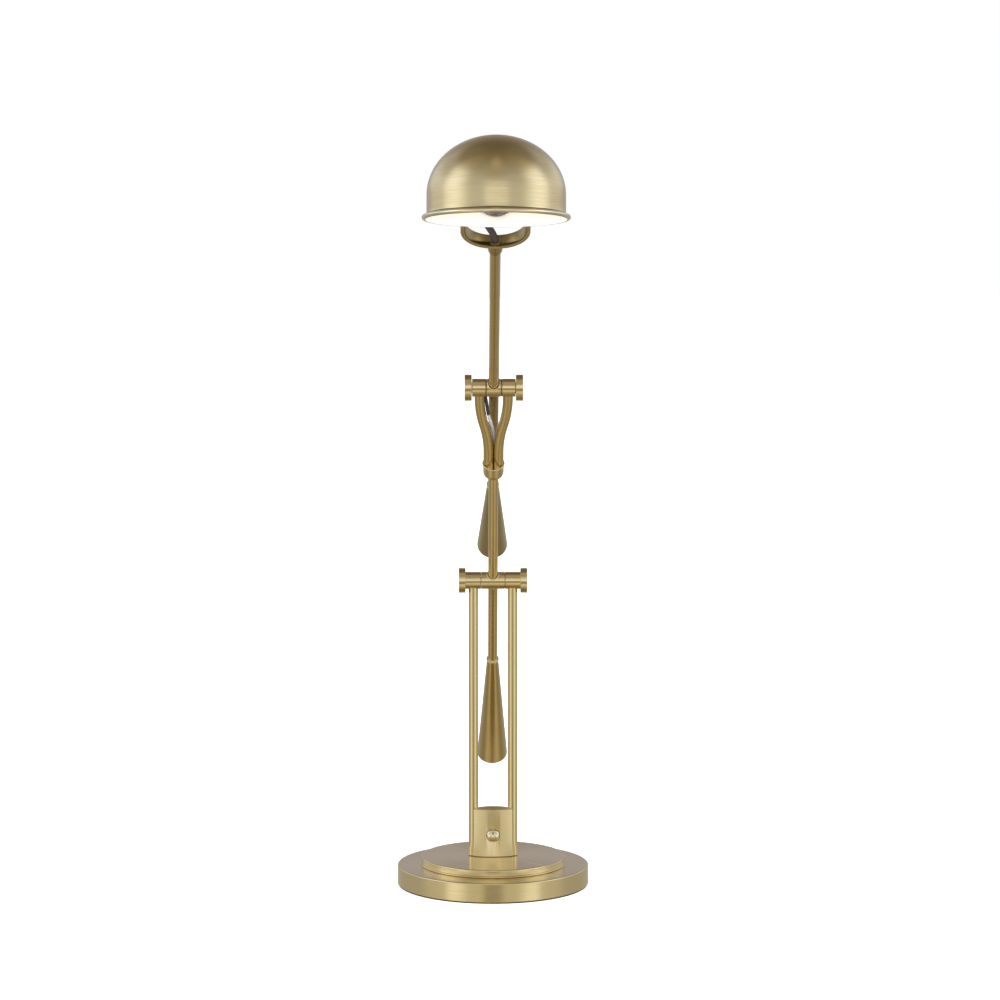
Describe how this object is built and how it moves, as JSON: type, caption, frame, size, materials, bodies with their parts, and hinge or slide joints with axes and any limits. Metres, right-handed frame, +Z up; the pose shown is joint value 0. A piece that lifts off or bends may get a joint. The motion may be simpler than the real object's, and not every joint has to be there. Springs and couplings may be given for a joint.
{
  "type": "desk lamp",
  "caption": "Counterweighted desk lamp: two tilting arms on clamped cross joints, a swivelling yoke and a tilting dome shade on a weighted round base.",
  "frame": {"origin": "centre of the felt pad's underside, on the table", "axes": "+Z up through the base's centre, -Y the way the arms lean, X along the joint axles"},
  "size_m": [0.1906, 0.7571, 0.7418],
  "materials": {
    "brushed_brass": "brushed antique, satin lacquer",
    "polished_brass": "polished",
    "cast_weight": "as cast, painted black",
    "steel": "zinc plated",
    "felt": "pressed felt",
    "black_plastic": "satin moulded",
    "black_lead": "soft matt sleeve",
    "clear_lead": "clear jacket over tinned cores",
    "lamp_metal": "drawn, bright",
    "glass": "clear"
  },
  "bodies": {
    "stand": {"felt_pad": "felt", "base_disc": "brushed_brass", "base_weight": "cast_weight", "step_plate": "brushed_brass", "column_bolts": "steel", "cord_bushing": "black_plastic", "column_block": "brushed_brass", "upright_left": "brushed_brass", "upright_right": "brushed_brass", "upright_wire": "black_lead", "switch_body": "black_plastic", "switch_bezel": "polished_brass", "switch_cover": "brushed_brass", "lower_sleeve_left": "brushed_brass", "lower_sleeve_right": "brushed_brass", "lower_axle": "steel", "lower_washers": "polished_brass"},
    "switch_knob": {"switch_key": "polished_brass"},
    "lower_left_clamp": {"lower_knob_left": "brushed_brass"},
    "lower_right_clamp": {"lower_knob_right": "brushed_brass"},
    "lower_arm": {"lower_hub": "brushed_brass", "lower_arm_tube": "brushed_brass", "lower_tail_tube": "brushed_brass", "lower_weight": "brushed_brass", "lower_weight_ring": "polished_brass", "lower_arm_wire": "clear_lead", "fork_collar": "brushed_brass", "fork_leg_left": "brushed_brass", "fork_leg_right": "brushed_brass", "fork_lead": "clear_lead", "upper_sleeve_left": "brushed_brass", "upper_sleeve_right": "brushed_brass", "upper_axle": "steel", "upper_washers": "polished_brass"},
    "upper_left_clamp": {"upper_knob_left": "brushed_brass"},
    "upper_right_clamp": {"upper_knob_right": "brushed_brass"},
    "upper_arm": {"upper_hub": "brushed_brass", "upper_arm_tube": "brushed_brass", "upper_tail_tube": "brushed_brass", "upper_weight": "brushed_brass", "upper_weight_ring": "polished_brass", "upper_arm_wire": "black_lead", "swivel_socket": "brushed_brass", "swivel_screw": "steel"},
    "yoke_arm": {"swivel_stud": "brushed_brass", "yoke": "brushed_brass", "yoke_nut": "brushed_brass", "pivot_screws": "polished_brass", "shade_lead": "black_lead"},
    "shade_head": {"socket_cup": "brushed_brass", "lead_gland": "black_plastic", "lamp_holder": "black_plastic", "saddle_ring": "steel", "shade": "brushed_brass", "bulb_cap": "lamp_metal", "bulb_glass": "glass"}
  },
  "joints": [
    {"name": "lower_arm_tilt", "type": "hinge", "parent": "stand", "child": "lower_arm", "pos_m": [0, 0, 0.3055], "axis": [1, 0, 0], "range_deg": [-28, 30]},
    {"name": "upper_arm_tilt", "type": "hinge", "parent": "lower_arm", "child": "upper_arm", "pos_m": [0, -0.15823, 0.50802], "axis": [1, 0, 0], "range_deg": [-10, 45]},
    {"name": "head_swivel", "type": "hinge", "parent": "upper_arm", "child": "yoke_arm", "pos_m": [0, -0.3846, 0.64674], "axis": [0, -0.8526, 0.5225], "range_deg": [-150, 150]},
    {"name": "shade_tilt", "type": "hinge", "parent": "yoke_arm", "child": "shade_head", "pos_m": [0, -0.45153, 0.68776], "axis": [1, 0, 0], "range_deg": [-50, 60], "deforming": ["shade_lead"]},
    {"name": "switch_turn", "type": "hinge", "parent": "stand", "child": "switch_knob", "pos_m": [0, -0.014, 0.0502], "axis": [0, -1, 0], "continuous": true},
    {"name": "lower_left_clamp_turn", "type": "hinge", "parent": "stand", "child": "lower_left_clamp", "pos_m": [-0.031, 0, 0.3055], "axis": [-1, 0, 0], "range_deg": [0, 180]},
    {"name": "lower_right_clamp_turn", "type": "hinge", "parent": "stand", "child": "lower_right_clamp", "pos_m": [0.031, 0, 0.3055], "axis": [1, 0, 0], "range_deg": [0, 180]},
    {"name": "upper_left_clamp_turn", "type": "hinge", "parent": "lower_arm", "child": "upper_left_clamp", "pos_m": [-0.0245, -0.15823, 0.50802], "axis": [-1, 0, 0], "range_deg": [0, 180]},
    {"name": "upper_right_clamp_turn", "type": "hinge", "parent": "lower_arm", "child": "upper_right_clamp", "pos_m": [0.0245, -0.15823, 0.50802], "axis": [1, 0, 0], "range_deg": [0, 180]}
  ]
}
